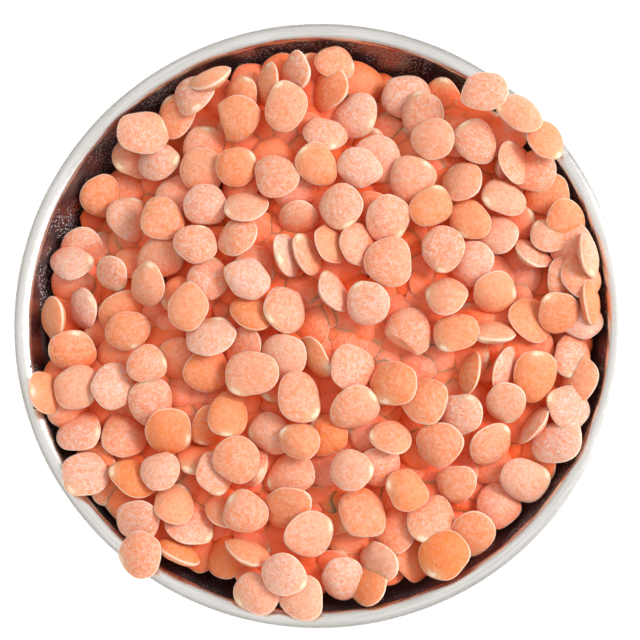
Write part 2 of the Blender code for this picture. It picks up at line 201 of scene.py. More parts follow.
bead_turns = [math.pi + (BEAD_END - math.pi) * k / BEAD_STEPS for k in range(BEAD_STEPS + 1)]
bead = [(BEAD_MIDDLE + BEAD_WIDTH / 2 * squared(math.cos(t)),
         BEAD_LEVEL + BEAD_HEIGHT / 2 * squared(math.sin(t))) for t in bead_turns]
under_bead = (MOUTH_RADIUS + SHEET / math.sin(WALL_ANGLE) - BEAD_HEIGHT / 2 / math.tan(WALL_ANGLE),
              BEAD_LEVEL - BEAD_HEIGHT / 2)
inner = corner_arc(CORNER_RADIUS)
outer = corner_arc(CORNER_RADIUS + SHEET)[::-1]
floor_rings = [FLOOR_RADIUS * k / FLOOR_STEPS for k in range(FLOOR_STEPS)]
inside = [(radius, SHEET) for radius in floor_rings] + inner + straight(inner[-1], bead[0], WALL_STEPS)
outside = [under_bead] + straight(under_bead, outer[0], WALL_STEPS) + outer
section = inside + bead + outside + [(radius, 0.0) for radius in reversed(floor_rings)]
print("points in the section:", len(section))

# %% [markdown]
# ## Spinning the bowl
#
# bmesh's spin turns a chain of edges round an axis. With use_merge the last copy closes on the first. The
# two ends of the chain lie on the axis and come out as a stack of points, which merging by distance makes
# into one. The normals are recalculated after that, on the whole closed shell.

# %% Spin it
BOWL_STEPS = 160
SAME_POINT = 0.002 * MM
SHARP_FROM = math.radians(35)


def spun(outline, steps):
    """A closed shell turned from half its section, whose two ends lie on the axis."""
    shape = bmesh.new()
    chain = [shape.verts.new((radius, 0, height)) for radius, height in outline]
    links = [shape.edges.new(pair) for pair in zip(chain, chain[1:])]
    bmesh.ops.spin(shape, geom=chain + links, cent=(0, 0, 0), axis=(0, 0, 1), angle=math.tau, steps=steps,
                   use_merge=True)
    bmesh.ops.remove_doubles(shape, verts=shape.verts, dist=SAME_POINT)
    bmesh.ops.recalc_face_normals(shape, faces=shape.faces)
    return shape


def new_piece(name, shape, smooth=True):
    """An object in the scene made from a bmesh, which is then freed."""
    mesh = bpy.data.meshes.new(name)
    shape.to_mesh(mesh)
    shape.free()
    if smooth:
        mesh.shade_smooth()
    piece = bpy.data.objects.new(name, mesh)
    bpy.context.scene.collection.objects.link(piece)
    return piece


shape = spun(section, BOWL_STEPS)
print(f"steel in the bowl: {shape.calc_volume(signed=True) / MM ** 3:.0f} mm3, faces {len(shape.faces)}")
bowl = new_piece("steel_bowl", shape)
bowl.data.set_sharp_from_angle(angle=SHARP_FROM)

# %% [markdown]
# ## Stainless steel
#
# The bowl is stainless sheet, spun and then brushed, so it shines softly. Turning leaves rings too fine to
# see at this size. They are drawn 0.22 mm apart, as fine as shows, and follow the radius and the height.
# Real ones blur a reflection more across the rings than along them, which the shader's anisotropy gives,
# with its tangent round the bowl. Use adds scuffs, and a few dark pits where acid or salt sat on the metal.
# The wall inside has its base colour painted darker and pinker, a painted shade, with small dots about
# 0.4 mm apart, laid out on the way round and the height, each a dimple whose white colour is a painted
# glint.
# The outside below the bead is painted a plain, darker grey, a painted shade that stands for the darker
# reflections of a room. Whether the normal points to the bowl's axis or away from it tells the inside from
# the outside.

# %% Finish the steel
SPIN_LINE = 0.22 * MM
SPIN_DEPTH = 0.03 * MM
SPIN_WANDER = 1.2 * MM
SMUDGE = 7 * MM
PIT_SPACING = 3.4 * MM
PIT_SIZE = 0.13
SCUFF = 1.6 * MM
SCUFF_DEPTH = 0.05 * MM
DIMPLE_SPACING = 0.4 * MM
DIMPLE_SIZE = 0.3
DIMPLE_DEPTH = 0.12 * MM
DIMPLED_TO = 23.2 * MM
DIMPLED_WHERE = 0.5
DULLER_INSIDE = 0.04
# How far the outside below the bead is painted darker, as painted shade.
PAINTED_SHADE_OUTSIDE = 0.85

steel, tree, shader = new_material("stainless_steel_spun_and_brushed")
place = add(tree, "ShaderNodeTexCoord").outputs["Object"]
along = add(tree, "ShaderNodeSeparateXYZ", {"Vector": place}).outputs
flat = add(tree, "ShaderNodeVectorMath", {0: place, 1: (1, 1, 0)}, operation="MULTIPLY").outputs[0]
radius_out = add(tree, "ShaderNodeVectorMath", {0: flat}, operation="LENGTH").outputs["Value"]
turn = calculate(tree, "ARCTAN2", along["Y"], along["X"])
slow_turn = calculate(tree, "MULTIPLY", turn, SPIN_WANDER)
rings_at = add(tree, "ShaderNodeCombineXYZ", {"X": radius_out, "Y": along["Z"], "Z": slow_turn}).outputs[0]
rings = noise(tree, rings_at, SPIN_LINE, detail=3.0, roughness=0.6)
smudges = noise(tree, place, SMUDGE, detail=4.0, roughness=0.55)
scuffs = noise(tree, place, SCUFF, detail=6.0, roughness=0.75, distortion=1.5)
pits = to_nearest_dot(tree, place, PIT_SPACING)
pit_size = ramp(tree, smudges, (0.52, 0.68), (0.0, PIT_SIZE))
in_pit = calculate(tree, "LESS_THAN", pits, pit_size)

worn = mix(tree, smudges, linear("EAE7E5"), linear("DED9D2"))
ringed = ramp(tree, rings, (0.3, 0.7), (0.0, 0.5))
metal = mix(tree, ringed, worn, linear("B4B0AA"))
pitted = mix(tree, in_pit, metal, linear("3C3733"))
rough_rings = ramp(tree, rings, (0.3, 0.7), (0.21, 0.29))
rough_scuffs = ramp(tree, scuffs, (0.5, 0.75), (0.0, 0.14))
roughness = calculate(tree, "ADD", rough_rings, rough_scuffs)
ring_bump = bump(tree, rings, strength=0.12, depth=SPIN_DEPTH)
scuff_bump = bump(tree, scuffs, strength=0.35, depth=SCUFF_DEPTH, over=ring_bump)

normal = add(tree, "ShaderNodeNewGeometry").outputs["Normal"]
outward = add(tree, "ShaderNodeVectorMath", {0: flat, 1: normal}, operation="DOT_PRODUCT").outputs["Value"]
on_wall = calculate(tree, "LESS_THAN", outward, 0.0)
below_rim = calculate(tree, "LESS_THAN", along["Z"], DIMPLED_TO)
inside_bowl = calculate(tree, "MULTIPLY", on_wall, below_rim)
dull_inside = calculate(tree, "MULTIPLY_ADD", inside_bowl, DULLER_INSIDE, roughness)
way_round = calculate(tree, "MULTIPLY", turn, MOUTH_RADIUS)
on_wall_map = add(tree, "ShaderNodeCombineXYZ", {"X": way_round, "Y": along["Z"]}).outputs[0]
dimples = to_nearest_dot(tree, on_wall_map, DIMPLE_SPACING, dimensions="2D")
# The inside wall's darker, pinkish base colour is painted shade.
inside_painted_shade = mix(tree, inside_bowl, pitted, linear("A3979B"))
dimple = ramp(tree, dimples, (0.0, DIMPLE_SIZE), (1.0, 0.0))
in_patch = calculate(tree, "GREATER_THAN", smudges, DIMPLED_WHERE)
dimpled = calculate(tree, "MULTIPLY", inside_bowl, in_patch)
relief = calculate(tree, "MULTIPLY", dimple, dimpled)
dimple_bump = bump(tree, relief, strength=1.0, depth=DIMPLE_DEPTH, over=scuff_bump)
round_bowl = add(tree, "ShaderNodeTangent", direction_type="RADIAL", axis="Z").outputs[0]
# White at the dimples is a painted glint.
with_painted_glints = mix(tree, relief, inside_painted_shade, linear("FFFFFF"))
is_out = calculate(tree, "SUBTRACT", 1.0, on_wall)
below_bead = calculate(tree, "LESS_THAN", along["Z"], BEAD_LEVEL - BEAD_HEIGHT / 2)
outer_wall = calculate(tree, "MULTIPLY", is_out, below_bead)
# The outside below the bead is painted a darker grey: painted shade for a room's darker reflections.
outside_painted_shade = calculate(tree, "MULTIPLY", outer_wall, PAINTED_SHADE_OUTSIDE)
whole_bowl = mix(tree, outside_painted_shade, with_painted_glints, linear("8A8885"))
fill(tree, shader, {"Base Color": whole_bowl, "Metallic": 1.0, "Roughness": dull_inside, "Anisotropic": 0.6,
                    "Anisotropic Rotation": 0.25, "Tangent": round_bowl, "Normal": dimple_bump})
bowl.data.materials.append(steel)
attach(bowl, "root")
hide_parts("bowl")
print("rings every", SPIN_LINE / MM, "mm, pits about every", PIT_SPACING / MM, "mm where the metal is worn")

# %% [markdown]
# ## Where every lentil lies
#
# A heap can be made by a rigid body simulation, by an array thrown on a surface, or by a rule. A rule is
# quick, gives the same heap each run, and can follow the photographed outline, so this one pours lentils
# one at a time on a map of heights. The map is a grid of cells a quarter of a millimetre wide. It starts as
# the steel itself, kept a little clear, and holds the topmost surface over each cell from then on.

# %% Lay out the map
CELL = 0.25 * MM
REACH = 37.0 * MM
LENTIL_TO_STEEL = 0.45 * MM
OPEN_AIR = -1.0

half_cells = round(REACH / CELL)
line = np.arange(-half_cells, half_cells + 1) * CELL
grid_x, grid_y = np.meshgrid(line, line, indexing="ij")
grid_r = np.hypot(grid_x, grid_y)


def cell_of(x, y):
    return round(x / CELL) + half_cells, round(y / CELL) + half_cells


def steel_heights():
    """How low a lentil may reach over each cell, kept clear of the bowl and its bead."""
    inside_corner = CORNER_RADIUS - LENTIL_TO_STEEL
    run = np.clip(grid_r - FLOOR_RADIUS, 0, inside_corner * math.sin(WALL_ANGLE))
    corner = SHEET + CORNER_RADIUS - np.sqrt(inside_corner ** 2 - run ** 2)
    wall_start = CORNER_OUT - LENTIL_TO_STEEL / math.sin(WALL_ANGLE)
    wall = CORNER_TOP + (grid_r - wall_start) * math.tan(WALL_ANGLE)
    across = (grid_r - BEAD_MIDDLE) / (BEAD_WIDTH / 2 + LENTIL_TO_STEEL)
    over = BEAD_LEVEL + (BEAD_HEIGHT / 2 + LENTIL_TO_STEEL) * np.sqrt(np.clip(1 - across ** 2, 0, 1))
    inside = np.minimum(np.maximum(corner, wall), RIM_LEVEL + LENTIL_TO_STEEL)
    over_bead = np.where(np.abs(across) < 1, over, OPEN_AIR)
    return np.maximum(np.where(grid_r < BEAD_MIDDLE, inside, OPEN_AIR), over_bead)


steel_map = steel_heights()
lowest = steel_map[grid_r < MOUTH_RADIUS].min()
print(f"map of {len(line)} by {len(line)} cells, steel from {lowest / MM:.2f} mm up")

# %% [markdown]
# ## The mound
#
# The mound stands 4 mm above the rim in the middle, and lies at a different height along each stretch of the
# wall: over the rim in three places, and up to 7 mm under it where most of the steel shows. Those levels
# are read from the photograph, and a smooth step joins each to the next.

# %% Shape the mound
CROWN = 4.0 * MM
EDGE_LEVELS = (
    (0, -1.4), (30, -0.6), (52, 1.4), (76, -5.4), (96, 0.2), (116, -1.8), (146, -7.0), (176, -4.0),
    (196, -0.2), (214, -0.4), (233, 1.2), (245, 0.0), (260, 1.2), (279, -1.2), (308, -4.0), (338, -1.8),
)
EDGE_BAND = 0.45

angles = np.array([angle for angle, _ in EDGE_LEVELS] + [360.0])
levels = np.array([level for _, level in EDGE_LEVELS] + [EDGE_LEVELS[0][1]]) * MM
around = np.degrees(np.arctan2(grid_y, grid_x)) % 360
stretch = np.clip(np.searchsorted(angles, around, side="right") - 1, 0, len(EDGE_LEVELS) - 1)
share = (around - angles[stretch]) / (angles[stretch + 1] - angles[stretch])
share = share * share * (3 - 2 * share)
edge = levels[stretch] * (1 - share) + levels[stretch + 1] * share
out = np.clip(grid_r / MOUTH_RADIUS, 0, 1.1)
band = np.clip((out - EDGE_BAND) / (1 - EDGE_BAND), 0, 1.2) ** 1.5
mound = RIM_LEVEL + CROWN * (1 - out ** 2) + edge * band
print(f"mound from {mound[grid_r < MOUTH_RADIUS].min() / MM:.1f} to {mound.max() / MM:.1f} mm up")

# %% [markdown]
# ## One lentil on the map
#
# For the pour a lentil is a flattened ball, because a tipped one then has a formula: over each cell its
# under and upper surface are the two roots of one quadratic. Dropping it straight down means finding how
# far its under surface can sink before it meets the map, which is one subtraction and one maximum.

# %% Drop one lentil
LENTIL_RADIUS = 2.45 * MM
LENTIL_HALF_THICKNESS = 1.08 * MM


def lens_heights(normal, radius, half_thickness):
    """The under and upper surface of a tipped lentil, from its middle, over a square of cells."""
    cells = math.ceil(radius / CELL)
    near = np.arange(-cells, cells + 1) * CELL
    x, y = np.meshgrid(near, near, indexing="ij")
    flatness = 1 / half_thickness ** 2 - 1 / radius ** 2
    lean = normal[0] * x + normal[1] * y
    rise = 1 / radius ** 2 + flatness * normal[2] ** 2
    middle = flatness * normal[2] * lean
    inside = middle ** 2 - rise * ((x * x + y * y) / radius ** 2 + flatness * lean ** 2 - 1)
    root = np.sqrt(np.maximum(inside, 0))
    under = np.where(inside > 0, (-middle - root) / rise, np.inf)
    upper = np.where(inside > 0, (-middle + root) / rise, -np.inf)
    return under, upper


def facing(ways):
    """The unit normals of lentils tipped from flat by a tilt in degrees, towards an azimuth in radians."""
    tipped = [(math.radians(tilt), azimuth) for tilt, azimuth in ways]
    return [(math.sin(t) * math.cos(a), math.sin(t) * math.sin(a), math.cos(t)) for t, a in tipped]


def aside(count, cells, turn):
    """No step, and a ring of steps aside from a cell."""
    around = [turn + k * math.tau / count for k in range(count)]
    return [(0, 0)] + [(round(cells * math.cos(a)), round(cells * math.sin(a))) for a in around]


flat_upper = lens_heights((0, 0, 1), LENTIL_RADIUS, LENTIL_HALF_THICKNESS)[1]
covered = np.isfinite(flat_upper).sum()
print(f"a lentil covers {covered} cells and is {2 * flat_upper.max() / MM:.2f} mm thick")

# %% [markdown]
# ## The pour
#
# Each lentil falls where the bed is furthest below the mound. It tries several tilts and small steps aside,
# and rests where its middle comes lowest, as a real one slides into a hollow. One in twelve is left standing
# on edge, and one in four along the wall. A spot where nothing fits under the mound any more is spent, and
# the deep holes left at the end get a lentil pressed in. One in seventeen is a split half, which is thinner.

# %% Write the pour
RADIUS_SPREAD = 0.055
RADIUS_RANGE = (0.84, 1.13)
THICKNESS_SPREAD = 0.06
THICKNESS_RANGE = (0.85, 1.15)
SPLIT_SHARE = 0.06
SPLIT_THICKNESS = 0.6
STANDING_SHARE = 0.08
STANDING_BY_WALL = 0.25
DEEP_TILT = (0, 40)
STANDING_TILT = (52, 82)
LYING_TILT = (0, 6)
LEANING_TILTS = (14, 28, 40)
WALL_TILTS = (25, 40, 55, 68)
SEED = 11
POUR_DEPTH = 8.5 * MM
DEEP = 4.0 * MM
ROUGHNESS = 0.8 * MM
PROUD = 2.1 * MM
STANDING_PROUD = 1.7 * MM
BED_TO_WALL = 1.0 * MM
POUR_TO_WALL = 0.8 * MM
FULL_ENOUGH = 0.15 * MM
SPENT_RADIUS = 0.75 * MM
STANDING_ROOM = 1.7 * MM
WALL_SIDE = 25.0 * MM
WHIM = 0.55 * MM
HOLE = 2.5 * MM
HOLE_EDGE = 2.2 * MM
HOLE_BITE = 0.25 * MM
HOLE_FILL = 1.6 * MM
HOLE_SIDE = 0.6 * MM
HOLE_REACH = 29.0 * MM

dice = random.Random(SEED)
bed_floor = np.where(grid_r < MOUTH_RADIUS - BED_TO_WALL, mound - POUR_DEPTH, OPEN_AIR)
heights = np.maximum(steel_map, bed_floor)
fixed = steel_map.copy()
owner = np.full(grid_r.shape, -1)
spent = grid_r > MOUTH_RADIUS - POUR_TO_WALL
wanted = mound - np.random.RandomState(SEED).random_sample(grid_r.shape) * ROUGHNESS
lentils = []


def window(i, j, cells):
    return slice(i - cells, i + cells + 1), slice(j - cells, j + cells + 1)


def rest_level(i, j, under):
    return (heights[window(i, j, len(under) // 2)] - under).max()


def lay(i, j, level, normal, radius, half_thickness, is_split):
    """Leaves a lentil at rest, and raises the heights that it covers."""
    upper = lens_heights(normal, radius, half_thickness)[1]
    under_it = window(i, j, len(upper) // 2)
    covers = level + upper > heights[under_it]
    heights[under_it] = np.where(covers, level + upper, heights[under_it])
    owner[under_it] = np.where(covers, len(lentils), owner[under_it])
    middle = Vector((line[i], line[j], level))
    spin = dice.random() * math.tau
    lentils.append((middle, Vector(normal), spin, radius, half_thickness, is_split))


def near_one(amount, limits):
    """A share near 1, held between limits."""
    return min(limits[1], max(limits[0], dice.gauss(1, amount)))


def sizes():
    """A lentil's radius, half thickness, and whether it is a split half."""
    radius = LENTIL_RADIUS * near_one(RADIUS_SPREAD, RADIUS_RANGE)
    half_thickness = LENTIL_HALF_THICKNESS * near_one(THICKNESS_SPREAD, THICKNESS_RANGE)
    is_split = dice.random() < SPLIT_SHARE
    return radius, half_thickness * (SPLIT_THICKNESS if is_split else 1), is_split


def tries(deep, standing, to_middle):
    """The ways to face, and the steps aside in cells, that a falling lentil tries. By the wall it also
    leans on the wall, with its face to the middle."""
    roll, turn = dice.uniform, dice.random() * math.tau
    if deep:
        ways = [(roll(*DEEP_TILT), turn + k * math.tau / 4) for k in range(4)]
        return facing(ways), aside(4, 3, 0)
    if standing:
        ways = [(roll(*STANDING_TILT), turn + k * math.tau / 12) for k in range(6)]
        return facing(ways), aside(4, 2, 0)
    ways = [(roll(*LYING_TILT), turn)]
    for tilt in LEANING_TILTS:
        ways += [(tilt + roll(-6, 6), turn + k * math.tau / 5 + roll(-0.4, 0.4)) for k in range(5)]
    if to_middle is not None:
        ways += [(tilt, to_middle + roll(-0.5, 0.5)) for tilt in WALL_TILTS]
    return facing(ways), aside(6, 3, turn)


def settle(i, j, deep):
    """Drops a lentil near a cell, and lets it come to rest in the lowest of the ways it tries."""
    radius, half_thickness, is_split = sizes()
    by_the_wall = math.hypot(line[i], line[j]) > WALL_SIDE
    standing = dice.random() < (STANDING_BY_WALL if by_the_wall else STANDING_SHARE) and not deep
    to_middle = math.atan2(-line[j], -line[i]) if by_the_wall else None
    normals, steps = tries(deep, standing, to_middle)
    found = None
    for normal in normals:
        under, upper = lens_heights(normal, radius, half_thickness)
        whim = dice.random() * WHIM
        for step_i, step_j in steps:
            level = rest_level(i + step_i, j + step_j, under)
            if found is None or round(level + whim, 7) < found[0]:
                found = round(level + whim, 7), level, i + step_i, j + step_j, normal, upper.max()
    _, level, i_found, j_found, normal, rise = found
    allowed = mound[i_found, j_found] + (STANDING_PROUD if standing else PROUD)
    if level + rise > allowed:
        spent[np.hypot(grid_x - line[i], grid_y - line[j]) < SPENT_RADIUS] = True
        return
    lay(i_found, j_found, level, normal, radius, half_thickness, is_split)


def pour(enough):
    """Settles a lentil where the bed is furthest below the mound, until it is filled this near to it."""
    while True:
        missing = np.where(spent, OPEN_AIR, wanted - heights)
        i, j = divmod(int(missing.argmax()), len(line))
        if missing[i, j] < enough:
            return
        settle(i, j, mound[i, j] - heights[i, j] > DEEP)


def put(spots, proud):
    """Lays the listed lentils, as proud of the mound as this, or on the steel or each
    other where that is higher, and keeps others off."""
    for x, y, tilt, azimuth in spots:
        i, j = cell_of(x * MM, y * MM)
        normal = facing([(tilt, math.radians(azimuth))])[0]
        under, upper = lens_heights(normal, LENTIL_RADIUS, LENTIL_HALF_THICKNESS)
        under_it = window(i, j, len(under) // 2)
        on_fixed = (fixed[under_it] - under).max()
        level = max(on_fixed, mound[i, j] + proud - upper.max())
        lay(i, j, level, normal, LENTIL_RADIUS, LENTIL_HALF_THICKNESS, False)
        fixed[under_it] = np.maximum(fixed[under_it], level + upper)
        spent[np.hypot(grid_x - line[i], grid_y - line[j]) < STANDING_ROOM] = True


def wedge():
    """Presses a lentil into each deep hole that is too narrow for one to fall into, no higher than it can
    go without cutting into the lentils round the hole."""
    left = grid_r < HOLE_REACH
    while True:
        missing = np.where(left, mound - heights, OPEN_AIR)
        i, j = divmod(int(missing.argmax()), len(line))
        if missing[i, j] < HOLE:
            return
        left[np.hypot(grid_x - line[i], grid_y - line[j]) <= HOLE_SIDE] = False
        radius, half_thickness, is_split = sizes()
        normal = facing([(dice.uniform(0, 35), dice.random() * math.tau)])[0]
        under, upper = lens_heights(normal, radius, half_thickness)
        under_it = window(i, j, len(under) // 2)
        round_it = mound[under_it] - heights[under_it] < HOLE_EDGE
        clear = np.where(round_it, heights[under_it] - upper, np.inf).min() + HOLE_BITE
        sunk = mound[i, j] - HOLE_FILL - upper.max()
        level = max((steel_map[under_it] - under).max(), min(clear, sunk))
        if level + upper[len(upper) // 2, len(upper) // 2] > heights[i, j]:
            lay(i, j, level, normal, radius, half_thickness, is_split)


print("bed starts", POUR_DEPTH / MM, "mm under the mound")

# %% [markdown]
# ## Lentils that catch the eye
#
# A few lentils give the photograph its look: those on edge along the right of the bowl, a row that leans
# like dominoes near the middle, and nine that lie on or over the rim. They are listed one by one, with x and
# y in millimetres, how far the face tips, and which way. They are laid first, so that the others settle
# round them and lean on them.

# %% Pour the heap
WELL_SHOWN = 0.5
JUST_SHOWN = 0.03
STANDING = (
    (29.3, 7.0, 70, 10), (29.6, 2.1, 74, 5), (-11.7, 26.9, 62, 115), (-5.4, 26.2, 62, 178),
    (-2.6, 27.6, 52, 175), (23.3, 7.3, 62, 55), (18.9, -1.4, 60, 80), (20.3, -5.6, 62, 340),
    (16.6, -6.0, 66, 165), (-15.1, -25.1, 62, 60), (-0.2, -4.2, 60, 215), (-3.2, 7.0, 60, 10),
    (-1.0, 6.8, 56, 15), (1.5, 8.0, 50, 20), (4.4, 7.8, 34, 5), (1.7, 2.7, 58, 25), (-29.0, 0.5, 58, 190),
)
ON_THE_RIM = (
    (-19.5, -21.7, 30, 235), (-18.9, -25.4, 14, 230), (-6.6, -29.7, 14, 250), (-1.7, -30.3, 10, 270),
    (-3.5, -28.0, 16, 240), (24.7, 19.4, 35, 30), (22.1, 22.2, 28, 60), (18.3, 24.6, 8, 60),
    (-29.4, -7.8, 50, 10),
)

put(STANDING, STANDING_PROUD)
put(ON_THE_RIM, OPEN_AIR)
pour(FULL_ENOUGH)
wedge()

shown = np.bincount(owner[owner >= 0], minlength=len(lentils)) * CELL ** 2
shown_share = [area / (math.pi * lentil[3] ** 2) for area, lentil in zip(shown, lentils)]
packed_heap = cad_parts["lentils"]
packed_tree = BVHTree.FromPolygons([v.co for v in packed_heap.data.vertices],
                                   [p.vertices for p in packed_heap.data.polygons])
top_points = [lentil[0] + lentil[1] * lentil[4] for lentil, part in zip(lentils, shown_share)
              if part > WELL_SHOWN]
off = [packed_tree.find_nearest(point)[3] for point in top_points]
print(f"{len(lentils)} lentils, {sum(part > JUST_SHOWN for part in shown_share)} of them show,",
      f"tops within {max(off) / MM:.2f} mm of the packed heap")

# %% [markdown]
# ## The shape of a red lentil
#
# A red lentil is the seed of a brown one with its skin rubbed off: two rounded halves pressed together, a
# blunt rim where they meet, and on the rim a small beak, the root's tip, with a notch beside it. The faces
# are rather flat with a steep shoulder, a little lumpy, and the outline is never a true circle. The cage for
# one is a ball of 84 faces, from bmesh's create_uvsphere, pressed into that form. Four straighter sides are
# cut into its outline, and each point is pushed a little way at random. One level of Subdivision Surface
# rounds it, and a crease keeps the rim crisp. A few forms are enough for each kind, since each lentil gets
# its own size, width and turn. Every point keeps its place on the lentil, as an attribute for the material.

# %% Model the cages
SIDES = 14
RINGS = 6
SMOOTHING_SHRINK = 0.905
FORMS = 7
BEAK_WIDTH = 0.27
BEAK_RISE = 0.26
NOTCH_AFTER = 0.45
NOTCH_DROP = 0.1
DENT_WIDTH = 0.45
BEAK_SHOWS = 0.65
UNEVEN = 0.045
SEAM_CREASE = 0.85
BREAK_CREASE = 0.5
BREAK_MARGIN = 0.12

form_dice = random.Random(5)


def new_form():
    """What makes one lentil's shape differ from another's."""
    roll = form_dice.uniform
    return {
        "waves": [(2, roll(0.0, 0.06), roll(0, math.tau)), (3, roll(0.01, 0.05), roll(0, math.tau)),
                  (4, roll(0.0, 0.04), roll(0, math.tau)), (5, roll(0.01, 0.04), roll(0, math.tau))],
        "flats": [(roll(0.5, 5.8), roll(0.8, 0.93)) for _ in range(4)],
        "lumps": [(count, roll(-0.09, 0.09), roll(0, math.tau)) for count in (1, 2, 3, 5)],
        "shoulder": roll(0.72, 0.92), "rim": roll(0.6, 0.8), "plump": roll(0.88, 1.12),
        "bend": roll(-0.16, 0.16), "dimple": roll(0.0, 0.14),
        "beak": roll(0.05, 0.17), "notch": roll(0.04, 0.17),
    }


def lens_point(co, form):
    """Where a point of the ball goes on a lentil of radius 1 and half thickness 1."""
    reach = min(1.0, math.hypot(co.x, co.y))
    angle = math.atan2(co.y, co.x)
    spread = reach ** form["shoulder"]
    beak = math.exp(-(math.remainder(angle, math.tau) / BEAK_WIDTH) ** 2)
    notch = math.exp(-(math.remainder(angle - NOTCH_AFTER, math.tau) / BEAK_WIDTH) ** 2)
    outline = 1 + sum(size * math.cos(count * angle + start) for count, size, start in form["waves"])
    for middle, distance in form["flats"]:
        outline = min(outline, distance / max(0.2, math.cos(angle - middle)))
    outline += (form["beak"] * beak - form["notch"] * notch) * reach ** 4
    lumps = sum(size * math.cos(count * angle + start) for count, size, start in form["lumps"])
    height = abs(1 - min(1.0, spread) ** 2) ** form["rim"] if abs(co.z) > 1e-6 else 0.0
    height *= (form["plump"] if co.z > 0 else 2 - form["plump"]) * (1 + lumps * reach)
    height -= form["dimple"] * math.exp(-(reach / DENT_WIDTH) ** 2)
    height += (BEAK_RISE * beak - NOTCH_DROP * notch) * reach ** 4
    height = math.copysign(height, co.z) + form["bend"] * (co.x ** 2 - co.y ** 2) * 0.5
    size = outline * spread / max(reach, 1e-6) / SMOOTHING_SHRINK
    return Vector((co.x * size, co.y * size, height))


def lens_cage(form):
    """A whole lentil's cage, with its attributes. On some the beak is turned to the under side."""
    cage = bmesh.new()
    bmesh.ops.create_uvsphere(cage, u_segments=SIDES, v_segments=RINGS, radius=1)
    on_lentil = cage.verts.layers.float_vector.new("on_lentil")
    crease = cage.edges.layers.float.new("crease_edge")
    for name in ("broken", "tone", "flour", "painted_shade_depth"):
        cage.verts.layers.float.new(name)
    beak_side = 1 if form_dice.random() < BEAK_SHOWS else -1
    for vert in cage.verts:
        vert[on_lentil] = (vert.co.x, vert.co.y, vert.co.z * beak_side)
        x, y, z = lens_point(vert.co, form)
        across, up = [1 + form_dice.uniform(-UNEVEN, UNEVEN) for _ in range(2)]
        vert.co = Vector((x * across, y * across, z * up))
    for cage_edge in cage.edges:
        if all(abs(vert[on_lentil].z) < 0.01 for vert in cage_edge.verts):
            cage_edge[crease] = SEAM_CREASE
    return cage


def break_off(cage, point, normal, raggedness):
    """Cuts the cage by a plane, throws away what lies beyond it, and closes the break with a rough face."""
    everything = cage.verts[:] + cage.edges[:] + cage.faces[:]
    cut = bmesh.ops.bisect_plane(cage, geom=everything, plane_co=point, plane_no=normal,
                                 clear_outer=True)
    rim = [part for part in cut["geom_cut"] if isinstance(part, bmesh.types.BMEdge)]
    lid = bmesh.ops.holes_fill(cage, edges=rim)["faces"]
    bmesh.ops.inset_individual(cage, faces=lid, thickness=BREAK_MARGIN)
    middle = bmesh.ops.poke(cage, faces=lid)["verts"]
    crease = cage.edges.layers.float["crease_edge"]
    broken = cage.verts.layers.float["broken"]
    on_lentil = cage.verts.layers.float_vector["on_lentil"]
    side = Vector(normal).normalized()
    for part in rim:
        if part.is_valid:
            part[crease] = BREAK_CREASE
    on_break = [vert for vert in cage.verts if abs((vert.co - Vector(point)).dot(side)) < 1e-4]
    for vert in on_break:
        vert[broken] = 1.0
        vert[on_lentil] = vert.co
        vert.co += side * form_dice.uniform(-raggedness, raggedness)
    for vert in middle:
        vert.co -= side * raggedness
    return cage


whole_cages = [lens_cage(new_form()) for _ in range(FORMS)]
flat_cages = [lens_cage({**new_form(), "rim": 0.95, "dimple": 0.02}) for _ in range(FORMS)]
chips = [((0.74, 0.1, 0), (0.95, 0.3, 0.15)), ((-0.66, 0.3, 0), (-0.9, 0.5, 0.1)),
         ((0.2, 0.7, 0), (0.1, 1, -0.15)), ((0.1, -0.72, 0), (0.3, -0.9, 0.2))]
chipped_cages = [break_off(lens_cage(new_form()), point, normal, 0.05) for point, normal in chips]
split_cages = [break_off(lens_cage(new_form()), (0, 0, -0.12), (0.04, 0.02, -1), 0.03) for _ in range(4)]
print("faces in a whole lentil's cage:", len(whole_cages[0].faces))
print("faces in a chipped one's:", len(chipped_cages[0].faces))

# %% [markdown]
# ## Setting the lentils down
#
# The lentils of one kind are one mesh. Each is a copy of a cage, put in place by one matrix: its size, its
# turn, its tilt and where it came to rest. The pour's flattened ball has the same radius and thickness, so a
# lentil touches its neighbours where the pour said. The material's own numbers go with each copy: a tone
# that runs from orange to pink, and how much flour lies on it. Each point also says how far it lies below
# the mean top of the heap round it, which the material turns into painted shade.

# %% Copy them into place
CHIPPED_SHARE = 0.05
FLAT_SHARE = 0.25
TOP_MARGIN = 1.15
HIDDEN_SHARE = 0.004
# Painted shade: how wide the mean top of the heap is taken, and how deep below it the shade is full.
PAINTED_SHADE_REACH = 2.75 * MM
PAINTED_SHADE_FULL_DEPTH = 2.8 * MM

look_dice = random.Random(23)
heap_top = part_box("lentils")[1].z


def mean_near(values, cells):
    """Each cell's mean over the square of cells round it."""
    size = 2 * cells + 1
    for axis in (0, 1):
        padding = [(cells + 1, cells) if side == axis else (0, 0) for side in (0, 1)]
        total = np.cumsum(np.pad(values, padding, mode="edge"), axis=axis)
        count = total.shape[axis]
        upper, lower = np.take(total, range(size, count), axis), np.take(total, range(count - size), axis)
        values = (upper - lower) / size
    return values


near_top = mean_near(np.maximum(heights, steel_map), round(PAINTED_SHADE_REACH / CELL))


def placed(lentil, stretched):
    """The matrix that puts a unit lentil where this one lies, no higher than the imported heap."""
    place, normal, spin, radius, half_thickness, _ = lentil
    rise = TOP_MARGIN * math.hypot(radius * math.hypot(normal.x, normal.y), half_thickness * normal.z)
    place = Vector((place.x, place.y, min(place.z, heap_top - rise)))
    tip = normal.to_track_quat("Z", "Y").to_matrix().to_4x4()
    size = Matrix.Diagonal((radius * stretched, radius / stretched, half_thickness, 1))
    return Matrix.Translation(place) @ tip @ Matrix.Rotation(spin, 4, "Z") @ size


